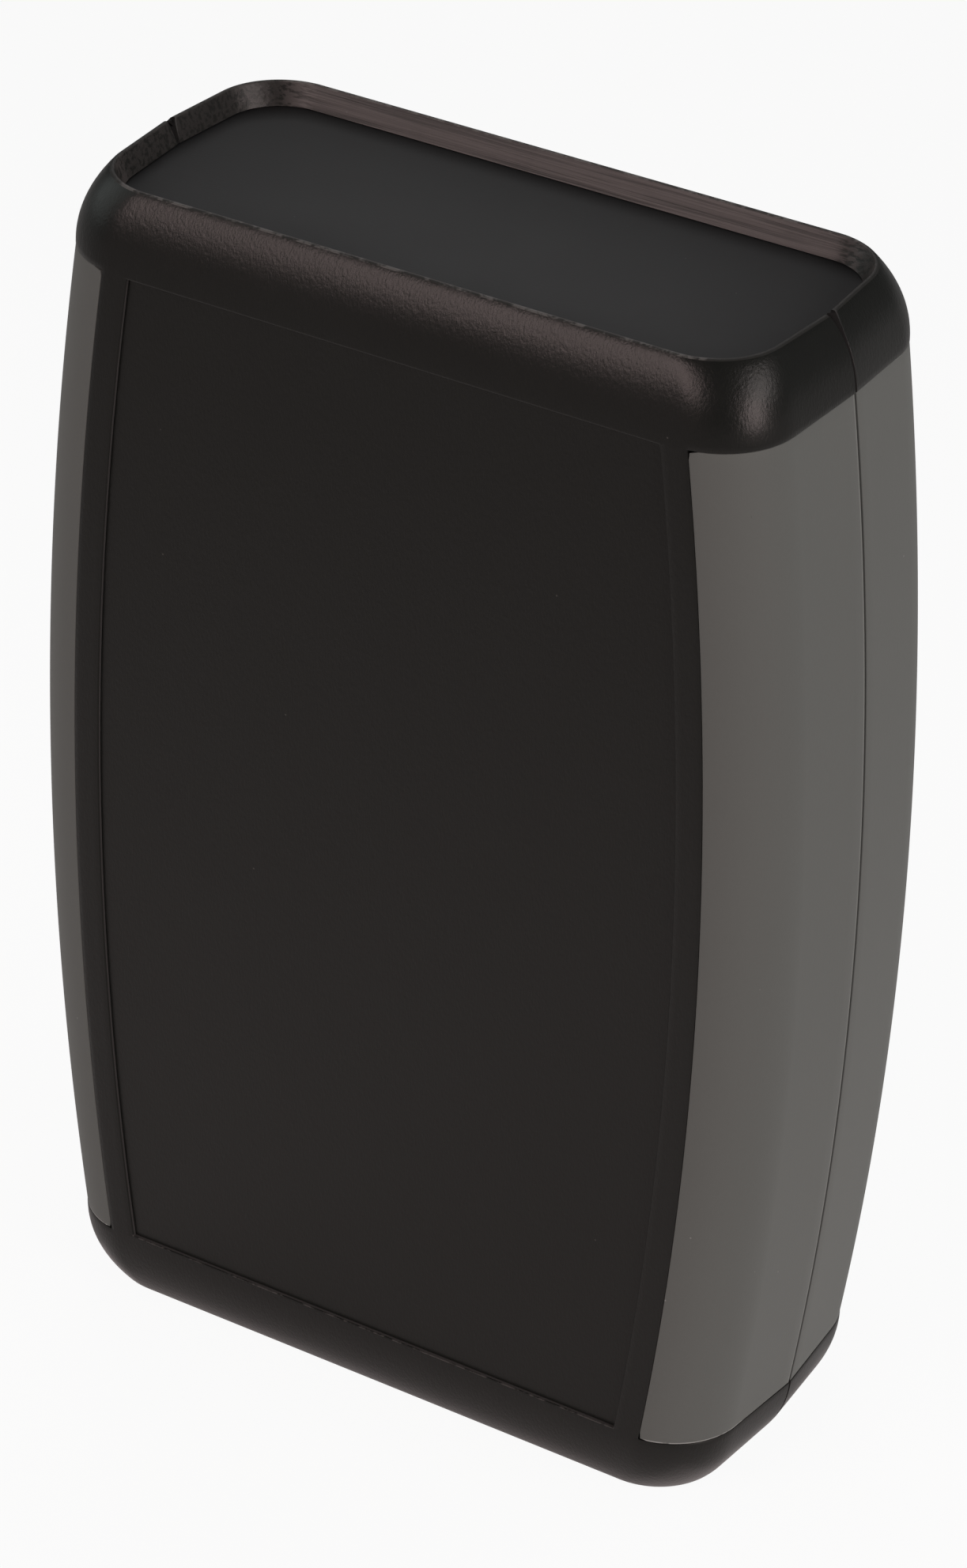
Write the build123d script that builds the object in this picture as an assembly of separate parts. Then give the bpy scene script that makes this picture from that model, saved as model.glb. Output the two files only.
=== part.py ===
from build123d import *
import os
from math import radians, sqrt, tan

# Hand-held moulded instrument case, standing on its lower end rim.
# +X runs across the case, +Y from front to rear, +Z along its length. All sizes are in mm.
# The model is built about the centre of the case and lifted onto its lower rim at the end.

# ---- envelope of the case ----
height = 117.0             # over the two end rims
mid_width = 80.4           # over the bowed sides at mid height
side_bow = 3.6             # how much each side draws in from mid height to the end lips
depth = 32.4               # over the front and rear faces
corner_radius = 7.5        # rounding of the four long corners
side_draft = 4.0           # degrees, from the seam back to each face

# ---- rolled end lips ----
lip_height = 7.4           # from the waist to the rim
lip_roll_side = 2.8        # how far a lip rolls in at the sides
lip_roll_face = 2.15       # how far it rolls in at the front and rear
lip_corner_radius = 6.6    # plan rounding at the rim
rim_land = 0.35            # flat ring along the rim
seam_notch = 0.15          # bevel of each half along the seam

# ---- end panels ----
panel_thickness = 2.0
panel_recess = 2.2         # from the rim down to the panel's face
panel_capture = 1.0        # how far the panel's edge sits in its slot
panel_play = 0.1           # clearance of the panel in its slot
panel_corner_radius = 5.4  # rounding of the opening in front of the panel
mouth_lean = 0.85          # how much the opening widens from the panel to the rim

# ---- walls ----
face_wall = 2.2            # front and rear walls, under the label recess
side_wall = 1.9            # side walls, under the grips
ledge_height = 1.6         # wall left behind each panel slot

# ---- label recesses ----
label_recess = 0.4         # depth of the recess
label_margin = 9.7         # from the bowed side to the recess
label_end_margin = 7.5     # from the rim to the recess

# ---- over-moulded grips ----
grip_thickness = 1.3
grip_margin = 7.0          # how far a grip reaches round onto the face
grip_end_margin = 6.7      # from the rim to the grip, at the seam
grip_end_draft = 2.1       # degrees, slope of a grip's ends
grip_corner_radius = 1.0   # rounding of a grip's corners on the face
grip_seam_gap = 0.2        # open line between front and rear grips

# ---- seam tongue ----
tongue_thickness = 0.8
tongue_height = 1.2
tongue_end_gap = 12.0      # from the rim to the tongue's end
tongue_play = 0.1

# ---- case screws and their bosses ----
screw_side_margin = 12.9   # from the bowed side in to a screw's axis
screw_end_margin = 13.5    # from the rim to a screw's axis
screw_core_radius = 1.2
screw_head_radius = 2.75
screw_head_height = 2.0
screw_length = 12.0        # under the head
screw_drive_radius = 1.1   # half the width of the cross recess's arms, tip to tip
screw_drive_width = 0.7
screw_drive_depth = 1.2
screw_seat = 4.0           # from the seam to the seat of the head
pilot_play = 0.05          # radial, core of the screw in its pilot hole
shank_play = 0.4           # radial, screw in the rear boss
head_play = 0.35           # radial, head in its counterbore
boss_wall = 1.4
rib_thickness = 1.2
rib_drop = 3.0             # from the seam down to a rib's top

# ---- board standoffs ----
standoff_spacing_x = 50.0
standoff_spacing_z = 62.0
standoff_radius = 2.75
standoff_hole_radius = 1.1
standoff_height = 5.0
standoff_hole_depth = 4.4

# ---- derived ----
half_height = height / 2
half_depth = depth / 2
lip_base = half_height - lip_height
end_width = mid_width - 2 * side_bow
bow_radius = (lip_base ** 2 + side_bow ** 2) / (2 * side_bow)
panel_face = half_height - panel_recess
panel_back = panel_face - panel_thickness
cavity_end = panel_back - panel_play - ledge_height
cavity_inset = grip_thickness + side_wall
cavity_depth = half_depth - label_recess - face_wall
mouth_width = end_width / 2 - lip_roll_side - rim_land - mouth_lean
mouth_depth = half_depth - lip_roll_face - rim_land - mouth_lean
beyond = depth             # a length that reaches well outside the case


def side_at(z, inset):
    """Half width of the waist at height z, with its bowed side moved in by inset."""
    return mid_width / 2 - bow_radius + sqrt((bow_radius - inset) ** 2 - z ** 2)


def bowed_outline(inset, end):
    """Front outline between -end and +end, bounded by bowed sides moved in by inset."""
    middle = side_at(0, inset)
    corner = side_at(end, inset)
    right = ThreePointArc((corner, -end), (middle, 0), (corner, end))
    left = ThreePointArc((-corner, end), (-middle, 0), (-corner, -end))
    top = Line((corner, end), (-corner, end))
    bottom = Line((-corner, -end), (corner, -end))
    return make_face([right, top, left, bottom])


def plan_outline(half_width, reach, radius, notch=0.0):
    """Front half of a plan section: drafted sides, rounded front corners, bevelled seam."""
    lean = reach * tan(radians(side_draft))
    right = [(half_width, -notch), (half_width - lean, -reach)]
    if notch:
        right.insert(0, (half_width - notch, 0))
    left = [(-x, y) for x, y in reversed(right)]
    outline = make_face(Polyline(*right, *left, close=True))
    front_corners = outline.vertices().sort_by(Axis.Y)[:2]
    return fillet(front_corners, radius)


def layers(outlines):
    """Half form lofted through plan outlines given as (z, outline) pairs."""
    return loft([Location((0, 0, z)) * outline for z, outline in outlines])


def both_ends(form):
    """The form at the upper end and its mirror image at the lower end."""
    return form + mirror(form, about=Plane.XY)


def front_block(x_size, z_size, y_from, y_to):
    """Block centred on the case's axis, between two depths."""
    return Location((0, (y_from + y_to) / 2, 0)) * Box(x_size, y_to - y_from, z_size)


def waist_form(inset, reach, end):
    """Front half of the bowed body moved in by inset, with drafted sides and round corners."""
    form = extrude(Plane.XZ * bowed_outline(inset, end), amount=reach, taper=side_draft)
    face_edges = form.edges().filter_by_position(Axis.Y, -reach - 0.01, -reach + 0.01)
    long_edges = [edge for edge in face_edges if abs(edge.center().X) > end_width / 4]
    return fillet(long_edges, corner_radius - inset)


def roll_in(rise, full):
    """Inward roll of the lip at a height above its base, for a roll of full at the rim."""
    radius = (lip_height ** 2 + full ** 2) / (2 * full)
    return radius - sqrt(radius ** 2 - rise ** 2)


def lip_form():
    """Front half of the upper rolled lip, solid right through."""
    steps = 4
    outlines = []
    for step in range(steps + 1):
        rise = lip_height * step / steps
        width = end_width / 2 - roll_in(rise, lip_roll_side)
        reach = half_depth - roll_in(rise, lip_roll_face)
        radius = corner_radius + (lip_corner_radius - corner_radius) * step / steps
        outlines.append((lip_base + rise, plan_outline(width, reach, radius, seam_notch)))
    return layers(outlines)


def end_opening():
    """Front half of what is removed at the upper end: mouth, panel slot and throat."""
    rim = plan_outline(mouth_width + mouth_lean, mouth_depth + mouth_lean,
                       panel_corner_radius + mouth_lean)
    inner = plan_outline(mouth_width, mouth_depth, panel_corner_radius)
    slot = plan_outline(mouth_width + panel_capture + panel_play,
                        mouth_depth + panel_capture + panel_play,
                        panel_corner_radius + panel_capture)
    mouth = layers([(panel_face, inner), (half_height, rim)])
    throat = layers([(cavity_end - ledge_height, inner), (panel_face, inner)])
    pocket = layers([(panel_back - panel_play, slot), (panel_face + panel_play, slot)])
    return mouth + throat + pocket


def grip_window():
    """Front right region that the grip and its pocket share, outside the shell's core."""
    end = half_height - grip_end_margin
    slope = half_depth * tan(radians(grip_end_draft))
    middle = side_at(0, grip_margin) - slope
    corner = side_at(end, grip_margin) - slope
    inner = ThreePointArc((corner, -end), (middle, 0), (corner, end))
    outer = Polyline((corner, end), (mid_width, end), (mid_width, -end), (corner, -end))
    region = make_face([inner, *outer.edges()])
    region = fillet(region.vertices().sort_by(Axis.X)[:2], grip_corner_radius)
    window = extrude(Plane.XZ * region, amount=half_depth, taper=grip_end_draft)
    core = waist_form(grip_thickness, half_depth - grip_thickness, half_height)
    return window - core


def screw_places():
    """Centres of the four case screws, as (x, z) pairs."""
    z = half_height - screw_end_margin
    x = side_at(z, screw_side_margin)
    return [(side * x, end * z) for end in (1, -1) for side in (-1, 1)]


def standoff_places():
    """Centres of the four board standoffs, as (x, z) pairs."""
    x = standoff_spacing_x / 2
    z = standoff_spacing_z / 2
    return [(side * x, end * z) for end in (1, -1) for side in (-1, 1)]


def rod(x, z, radius, y_from, y_to):
    """Round rod parallel to Y between two depths."""
    profile = Plane.XZ * Location((x, z)) * Circle(radius)
    return Location((0, y_to, 0)) * extrude(profile, amount=y_to - y_from)


def shell_half():
    """What both shells share, in the front position: walls, lips, pockets and end slots."""
    slab = front_block(2 * mid_width, 2 * lip_base, -beyond, 0)
    outside = waist_form(0, half_depth, half_height) & slab
    outside += both_ends(lip_form())
    window = grip_window()
    outside -= window
    outside -= mirror(window, about=Plane.YZ)
    cavity = waist_form(cavity_inset, cavity_depth, cavity_end)
    label_end = half_height - label_end_margin
    label = extrude(Plane.XZ * bowed_outline(label_margin, label_end), amount=label_recess)
    outside -= Location((0, label_recess - half_depth, 0)) * label
    outside -= cavity
    return outside - both_ends(end_opening()), cavity


def boss_ribs(cavity):
    """Upright ribs that join the screw bosses to the side walls."""
    run = mid_width / 2
    ribs = []
    for x, z in screw_places():
        middle = x + (run if x > 0 else -run) / 2
        bar = Location((middle, -cavity_depth / 2 - rib_drop / 2, z))
        ribs.append(bar * Box(run, cavity_depth - rib_drop, rib_thickness))
    return (Part() + ribs) & cavity


def standoffs():
    """Board standoffs on the inner face of the front wall, and the holes in them."""
    top = standoff_height - cavity_depth
    posts = [rod(x, z, standoff_radius, -cavity_depth, top) for x, z in standoff_places()]
    holes = [rod(x, z, standoff_hole_radius, top - standoff_hole_depth, top)
             for x, z in standoff_places()]
    return posts, holes


def seam_tongue(play):
    """Two strips on the inner half of the side walls, grown by play into a rebate."""
    end = half_height - tongue_end_gap + play
    outer = bowed_outline(cavity_inset - tongue_thickness - play, end)
    inner = bowed_outline(cavity_inset + 3 * play, end)
    strip = extrude(Plane.XZ * (outer - inner), amount=-(tongue_height + play))
    return strip


def front_shell():
    """Front half with screw bosses, board standoffs and the seam tongue."""
    shell, cavity = shell_half()
    pilot = screw_core_radius + pilot_play
    boss = screw_core_radius + shank_play + boss_wall
    posts, holes = standoffs()
    shell += boss_ribs(cavity)
    shell += posts
    shell += [rod(x, z, boss, -cavity_depth, 0) for x, z in screw_places()]
    shell -= holes
    depth_of_pilot = screw_length - screw_seat + boss_wall
    shell -= [rod(x, z, pilot, -depth_of_pilot, 0) for x, z in screw_places()]
    return shell + seam_tongue(0)


def rear_shell():
    """Rear half with counterbored screw bosses, standoffs and the rebate for the tongue."""
    shell, cavity = shell_half()
    bore = screw_head_radius + head_play
    posts, holes = standoffs()
    shell += boss_ribs(cavity)
    shell += posts
    shell += [rod(x, z, bore + boss_wall, -cavity_depth, 0) for x, z in screw_places()]
    shell -= holes
    shell -= [rod(x, z, bore, -beyond, -screw_seat) for x, z in screw_places()]
    shell -= [rod(x, z, screw_core_radius + shank_play, -beyond, 0) for x, z in screw_places()]
    return mirror(shell, about=Plane.XZ) - seam_tongue(tongue_play)


def grip():
    """Front right grip, flush with the bowed side and short of the seam."""
    body = waist_form(0, half_depth, half_height) & grip_window()
    return body - front_block(2 * mid_width, height, -grip_seam_gap / 2, 0)


def end_panel():
    """Upper end panel, its edges held in the slots of both shells."""
    outline = plan_outline(mouth_width + panel_capture, mouth_depth + panel_capture,
                           panel_corner_radius + panel_capture)
    half = layers([(panel_back, outline), (panel_face, outline)])
    return half + mirror(half, about=Plane.XZ)


def case_screw(x, z):
    """Self-tapping screw with a cross recess, driven from the rear."""
    seat = screw_seat
    top = seat + screw_head_height
    screw = rod(x, z, screw_head_radius, seat, top)
    screw += rod(x, z, screw_core_radius, seat - screw_length, seat)
    for wide, tall in ((2 * screw_drive_radius, screw_drive_width),
                       (screw_drive_width, 2 * screw_drive_radius)):
        arm = Box(wide, screw_drive_depth, tall)
        screw -= Location((x, top - screw_drive_depth / 2, z)) * arm
    return screw


def build_all():
    """Every piece of the case, by name, about the centre of the case."""
    right = grip()
    left = mirror(right, about=Plane.YZ)
    panel = end_panel()
    pieces = {
        "front_shell": front_shell(),
        "rear_shell": rear_shell(),
        "front_grip_left": left,
        "front_grip_right": right,
        "rear_grip_left": mirror(left, about=Plane.XZ),
        "rear_grip_right": mirror(right, about=Plane.XZ),
        "top_end_panel": panel,
        "bottom_end_panel": mirror(panel, about=Plane.XY),
    }
    for number, (x, z) in enumerate(screw_places(), start=1):
        pieces[f"case_screw_{number}"] = case_screw(x, z)
    return pieces


os.makedirs("parts", exist_ok=True)
for name, piece in build_all().items():
    export_step(Location((0, 0, half_height)) * piece, f"parts/{name}.step")
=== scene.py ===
import math

import bmesh
import bpy
import numpy as np
from mathutils import Matrix, Vector


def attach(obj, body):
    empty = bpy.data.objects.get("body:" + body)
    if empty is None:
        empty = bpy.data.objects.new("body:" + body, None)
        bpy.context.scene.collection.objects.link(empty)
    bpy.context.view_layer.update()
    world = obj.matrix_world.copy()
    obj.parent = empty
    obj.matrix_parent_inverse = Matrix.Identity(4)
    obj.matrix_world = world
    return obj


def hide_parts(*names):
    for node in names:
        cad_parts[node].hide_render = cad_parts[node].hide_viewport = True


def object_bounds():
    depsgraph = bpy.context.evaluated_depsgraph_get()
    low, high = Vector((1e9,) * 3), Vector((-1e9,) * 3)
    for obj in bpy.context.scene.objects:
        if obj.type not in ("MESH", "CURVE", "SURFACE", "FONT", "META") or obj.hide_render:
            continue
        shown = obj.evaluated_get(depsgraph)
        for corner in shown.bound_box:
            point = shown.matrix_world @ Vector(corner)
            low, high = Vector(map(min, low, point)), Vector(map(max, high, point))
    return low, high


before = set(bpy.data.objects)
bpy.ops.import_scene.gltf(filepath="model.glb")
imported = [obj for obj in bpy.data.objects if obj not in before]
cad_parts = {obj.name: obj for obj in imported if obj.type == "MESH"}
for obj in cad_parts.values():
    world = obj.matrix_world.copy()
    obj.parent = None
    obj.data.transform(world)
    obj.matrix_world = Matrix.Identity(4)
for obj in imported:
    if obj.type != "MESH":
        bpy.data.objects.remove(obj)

bl_info = {
    "name": "Moulded Instrument Case",
    "version": (1, 0, 0),
    "blender": (4, 5, 0),
    "location": "3D View > Sidebar > Case",
    "description": "Builds the shells, soft grips, end panels and screws of a hand-held case",
    "category": "Add Mesh",
}

MM = 0.001
CAD_LOW, CAD_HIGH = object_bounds()
BODY = "root"


# ---------------------------------------------------------------- properties

def length(name, description, millimetres):
    """A length property with its default given in millimetres."""
    return bpy.props.FloatProperty(name=name, description=description, unit="LENGTH",
                                   precision=5, default=millimetres * MM)


def colour(name, description, red, green, blue):
    """A linear colour property."""
    return bpy.props.FloatVectorProperty(name=name, description=description, subtype="COLOR",
                                         size=3, min=0.0, max=1.0, default=(red, green, blue))


def share(name, description, default):
    """A number between 0 and 1."""
    return bpy.props.FloatProperty(name=name, description=description, subtype="FACTOR",
                                   min=0.0, max=1.0, default=default)


def turn(name, description, degrees):
    """An angle property with its default given in degrees."""
    return bpy.props.FloatProperty(name=name, description=description, subtype="ANGLE",
                                   default=math.radians(degrees))


class CaseShape(bpy.types.PropertyGroup):
    """Outside form of the case."""
    height: length("Height", "Length of the case over its two rims",
                   (CAD_HIGH.z - CAD_LOW.z) / MM)
    mid_width: length("Mid Width", "Width over the bowed sides at mid height",
                      (CAD_HIGH.x - CAD_LOW.x) / MM)
    depth: length("Depth", "From the front face to the rear face",
                  (CAD_HIGH.y - CAD_LOW.y) / MM)
    side_bow: length("Side Bow", "How much each side draws in towards the lips", 3.6)
    corner_radius: length("Corner Radius", "Rounding of the long corners", 7.5)
    side_draft: turn("Side Draft", "Lean of the sides from the seam to the faces", 4.0)
    lip_height: length("Lip Height", "Height of the rolled end lips", 7.4)
    lip_roll_side: length("Lip Roll Side", "How far a lip rolls in at the sides", 2.8)
    lip_roll_face: length("Lip Roll Face", "How far a lip rolls in at the faces", 2.15)
    lip_corner_radius: length("Lip Corner Radius", "Plan rounding at the rim", 6.6)
    rim_land: length("Rim Land", "Width of the flat ring along the rim", 0.35)
    seam_notch: length("Seam Notch", "Bevel of each half along the seam", 0.15)
    rim_notch: length("Rim Notch", "Depth of that bevel where the seam meets a rim", 0.6)
    edge_round: length("Edge Round", "Rounding of the moulded edges", 0.12)


class CaseInside(bpy.types.PropertyGroup):
    """Openings, walls and what is moulded inside the shells."""
    panel_thickness: length("Panel Thickness", "Thickness of an end panel", 2.0)
    panel_recess: length("Panel Recess", "From the rim down to the panel", 2.2)
    panel_capture: length("Panel Capture", "Depth of the panel's edge in its slot", 1.0)
    panel_play: length("Panel Play", "Clearance of the panel in its slot", 0.1)
    panel_corner_radius: length("Panel Corner Radius", "Corners of the opening", 5.4)
    mouth_lean: length("Mouth Lean", "How much the opening widens to the rim", 0.85)
    face_wall: length("Face Wall", "Front and rear walls", 2.2)
    side_wall: length("Side Wall", "Side walls under the grips", 1.9)
    ledge_height: length("Ledge Height", "Wall behind each panel slot", 1.6)
    label_recess: length("Label Recess", "Depth of the label recess", 0.4)
    label_margin: length("Label Margin", "From the bowed side to the recess", 9.7)
    label_end_margin: length("Label End Margin", "From the rim to the recess", 7.5)
    tongue_thickness: length("Tongue Thickness", "Thickness of the seam tongue", 0.8)
    tongue_height: length("Tongue Height", "How far the tongue stands up", 1.2)
    tongue_end_gap: length("Tongue End Gap", "From the rim to the tongue", 12.0)
    boss_wall: length("Boss Wall", "Wall of the screw bosses", 1.4)
    rib_thickness: length("Rib Thickness", "Thickness of the boss ribs", 1.2)
    rib_drop: length("Rib Drop", "From the seam to the top of a rib", 3.0)
    standoff_spacing_x: length("Standoff Spacing X", "Between board standoffs", 50.0)
    standoff_spacing_z: length("Standoff Spacing Z", "Between board standoffs", 62.0)
    standoff_radius: length("Standoff Radius", "Outside radius", 2.75)
    standoff_hole_radius: length("Standoff Hole Radius", "Pilot hole radius", 1.1)
    standoff_height: length("Standoff Height", "Above the face wall", 5.0)
    standoff_hole_depth: length("Standoff Hole Depth", "Depth of the pilot hole", 4.4)


class CaseGrips(bpy.types.PropertyGroup):
    """Over-moulded side grips."""
    thickness: length("Thickness", "Thickness of the soft layer", 1.3)
    margin: length("Margin", "How far a grip reaches round onto the face", 7.0)
    end_margin: length("End Margin", "From the rim to the grip at the seam", 6.7)
    end_draft: turn("End Draft", "Slope of the grip's ends", 2.1)
    corner_radius: length("Corner Radius", "Rounding of its corners on the face", 0.8)
    seam_gap: length("Seam Gap", "Open line between front and rear grips", 0.3)
    edge_round: length("Edge Round", "Rounding of the soft edges", 0.09)


class CaseScrews(bpy.types.PropertyGroup):
    """Case screws, driven from the rear."""
    side_margin: length("Side Margin", "From the bowed side in to a screw", 12.9)
    end_margin: length("End Margin", "From the rim to a screw", 13.5)
    core_radius: length("Core Radius", "Core of the threaded shank", 1.2)
    head_radius: length("Head Radius", "Radius of the pan head", 2.75)
    head_height: length("Head Height", "Height of the pan head", 2.0)
    shank: length("Shank", "Length under the head", 12.0)
    seat: length("Seat", "From the seam to the head's seat", 4.0)
    pilot_play: length("Pilot Play", "Radial play of the core in its pilot", 0.05)
    shank_play: length("Shank Play", "Radial play in the rear boss", 0.4)
    head_play: length("Head Play", "Radial play of the head", 0.35)


class CaseFinish(bpy.types.PropertyGroup):
    """Colours and gloss of the finishes."""
    shell_colour: colour("Shell Colour", "Moulded black plastic", 0.0084, 0.0093, 0.0083)
    shell_roughness: share("Shell Roughness", "Satin gloss of the shells", 0.32)
    # the rim walls' colour: real scuffs together with a painted highlight
    scuff_and_highlight_colour: colour("Scuff Colour", "Scuffed rim walls", 0.062, 0.054, 0.052)
    panel_colour: colour("Panel Colour", "Flat end panels", 0.0175, 0.0175, 0.0183)
    panel_roughness: share("Panel Roughness", "Gloss of the panels", 0.6)
    grip_colour: colour("Grip Colour", "Soft grey grips", 0.1140, 0.1180, 0.1110)
    grip_roughness: share("Grip Roughness", "Gloss of the grips", 0.62)
    screw_colour: colour("Screw Colour", "Zinc plated steel", 0.46, 0.46, 0.45)


# ---------------------------------------------------------------- node graphs

def math_method(operation, swapped=False):
    """A Socket method that adds one Math node; swapped puts the socket itself last."""
    def method(self, *others):
        terms = (*others, self) if swapped else (self, *others)
        node = self.graph.add("ShaderNodeMath", dict(enumerate(terms)), operation=operation)
        return self.graph.out(node)
    return method


class Socket:
    """A node's output, wrapped so that sums on it read as plain arithmetic."""

    def __init__(self, graph, output):
        self.graph = graph
        self.output = output

    __add__ = math_method("ADD")
    __radd__ = math_method("ADD", swapped=True)
    __sub__ = math_method("SUBTRACT")
    __rsub__ = math_method("SUBTRACT", swapped=True)
    __mul__ = math_method("MULTIPLY")
    __rmul__ = math_method("MULTIPLY", swapped=True)
    __truediv__ = math_method("DIVIDE")
    __rtruediv__ = math_method("DIVIDE", swapped=True)
    __mod__ = math_method("MODULO")
    __pow__ = math_method("POWER")
    __lt__ = math_method("LESS_THAN")
    __gt__ = math_method("GREATER_THAN")
    __abs__ = math_method("ABSOLUTE")
    floored = math_method("FLOOR")
    root = math_method("SQRT")
    sine = math_method("SINE")
    cosine = math_method("COSINE")
    tangent = math_method("TANGENT")
    least = math_method("MINIMUM")
    most = math_method("MAXIMUM")

    def held(self):
        """The value kept between 0 and 1."""
        return self.least(1.0).most(0.0)

    def ramp(self, low, high):
        """0 at low and below, 1 at high and above, smooth between."""
        node = self.graph.add("ShaderNodeMapRange", {0: self, 1: low, 2: high, 3: 0.0, 4: 1.0},
                              interpolation_type="SMOOTHSTEP")
        return self.graph.out(node)


class Graph:
    """A node tree with one way to add a node."""

    def __init__(self, tree):
        self.tree = tree

    def add(self, kind, values=None, **settings):
        """Adds a node, applies its settings, then sets or links its inputs."""
        node = self.tree.nodes.new(kind)
        for name, value in settings.items():
            setattr(node, name, value)
        for key, value in (values or {}).items():
            self.feed(node.inputs[key], value)
        return node

    def feed(self, target, value):
        """Links a socket to an input, or sets the input's own value."""
        if isinstance(value, Socket):
            self.tree.links.new(value.output, target)
        elif isinstance(value, bpy.types.NodeSocket):
            self.tree.links.new(value, target)
        else:
            target.default_value = value

    def out(self, node, key=0):
        """One output of a node, wrapped for sums."""
        return Socket(self, node.outputs[key])


class Finish(Graph):
    """A material's node graph around one Principled shader."""

    def __init__(self, name, **constants):
        self.material = bpy.data.materials.new(name)
        self.material.use_nodes = True
        super().__init__(self.material.node_tree)
        self.tree.nodes.clear()
        self.shader = self.add("ShaderNodeBsdfPrincipled")
        self.surface = self.add("ShaderNodeOutputMaterial").inputs["Surface"]
        self.feed(self.surface, self.shader.outputs[0])
        for socket, value in constants.items():
            self.shader.inputs[socket.replace("_", " ")].default_value = value
        self.place = self.add("ShaderNodeTexCoord").outputs["Object"]

    def across(self):
        """The x, y and z of the place on the piece, as three sockets."""
        split = self.add("ShaderNodeSeparateXYZ", {0: self.place})
        return [self.out(split, axis) for axis in range(3)]

    def stretched(self, scale):
        """The place, scaled by different amounts along x, y and z."""
        return self.add("ShaderNodeMapping", {"Vector": self.place, "Scale": scale}).outputs[0]

    def noise(self, size, detail=2.0, rough=0.5, place=None):
        """Noise whose features are about size metres across, from 0 to 1."""
        return self.out(self.add("ShaderNodeTexNoise",
                                 {"Vector": place or self.place, "Scale": 1.0 / size,
                                  "Detail": detail, "Roughness": rough}))

    def specks(self, spacing, radius, kept):
        """Small round dust specks: 1 on a speck, 0 elsewhere. kept is the share of cells used."""
        cells = self.add("ShaderNodeTexVoronoi", {"Vector": self.place, "Scale": 1.0 / spacing,
                                                  "Randomness": 1.0}, feature="F1")
        near = 1.0 - self.out(cells, "Distance").ramp(radius / spacing * 0.6, radius / spacing)
        pick = self.add("ShaderNodeSeparateColor", {0: cells.outputs["Color"]})
        return near * (self.out(pick) < kept)

    def blend(self, factor, first, second):
        """Colour mix of first and second."""
        node = self.add("ShaderNodeMix", {"Factor": factor, 6: first, 7: second},
                        data_type="RGBA")
        return node.outputs[2]

    def mottled(self, colour, darkest, lightest, tone):
        """A colour that varies with the tone between two shares of itself."""
        return self.blend(tone, rgba(colour, darkest), rgba(colour, lightest))

    def layered(self, base, *layers):
        """The base with a colour laid over it for each (mask, colour) pair."""
        for mask, colour in layers:
            base = self.blend(mask, base, rgba(colour))
        return base

    def dressed(self, base, rough, height, strength, distance):
        """The material, once its colour, roughness and bump are fed."""
        bump = self.add("ShaderNodeBump",
                        {"Strength": strength, "Distance": distance, "Height": height})
        for name, value in (("Base Color", base), ("Roughness", rough),
                            ("Normal", bump.outputs[0])):
            self.feed(self.shader.inputs[name], value)
        return self.material


def rgba(values, gain=1.0):
    """A linear colour with alpha, brightened by gain."""
    return (*[channel * gain for channel in values], 1.0)


# ---------------------------------------------------------------- finishes

# Linear colours laid over the finishes: dust specks, painted shade in the seam groove, and
# painted light and painted highlights on the recess walls, rim land, seam edges and the grips'
# lower ends
# painted light: lightens the recess walls in place of the light they would catch
STEP_PAINTED_LIGHT = (0.050, 0.047, 0.046)
# painted highlight along the lower edge of the label recess
LOW_STEP_HIGHLIGHT = (0.06, 0.056, 0.054)
# painted highlight along the rim land
RIM_HIGHLIGHT = (0.13, 0.125, 0.12)
# painted highlight on the rear half's edge beside the seam
SEAM_HIGHLIGHT = (0.05, 0.048, 0.048)
GROOVE_SHADE = (0.0015, 0.0015, 0.0015)
SHELL_DUST = (0.10, 0.095, 0.09)
PANEL_DUST = (0.12, 0.12, 0.12)
GRIP_DUST = (0.34, 0.33, 0.32)
# painted highlight along the front of a grip's lower end
GRIP_END_HIGHLIGHT = (0.36, 0.36, 0.35)
# painted highlight on the front grips' edge beside the seam
GRIP_SEAM_HIGHLIGHT = (0.21, 0.21, 0.20)

NOTCH_CURVE = 6   # power by which the seam's notch opens towards the rim


def mouth_wall(look, form):
    """Masks of a rim: (its leaning inner wall, that wall's scuffs and painted highlight, its
    land, and the land's long straight parts, which take a painted highlight).
    """
    x, y, z = look.across()
    inside = form.inside
    corner = inside.panel_corner_radius
    centre_y = form.mouth_depth - corner
    centre_x = form.mouth_width - corner / math.cos(form.shape.side_draft)
    up = (abs(z - form.half_height) - form.panel_face) / inside.panel_recess
    y = abs(y)
    across = (abs(x) + y.least(centre_y) * form.lean - centre_x).most(0.0)
    along = (y - centre_y).most(0.0)
    away = (across * across + along * along).root()
    turned = along / away.most(0.1 * MM)
    margin = 0.15 * MM
    wall = (up > -0.02) * (away - up.held() * inside.mouth_lean - corner < margin)
    # how much the wall is lightened: real scuffs, plus a painted highlight in a band round each
    # corner and along the long walls
    start = turned.ramp(0.12, 0.3) * (1 - turned.ramp(0.4, 0.62))
    scuffs_and_highlight = 0.3 + start * 0.4 + turned.ramp(0.78, 0.95) * 0.7
    land = up > 0.95
    # the land gets a little painted light, and its long straight parts a painted highlight broken
    # by noise
    return wall, wall * scuffs_and_highlight, land, land * turned.ramp(0.8, 0.97)


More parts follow.
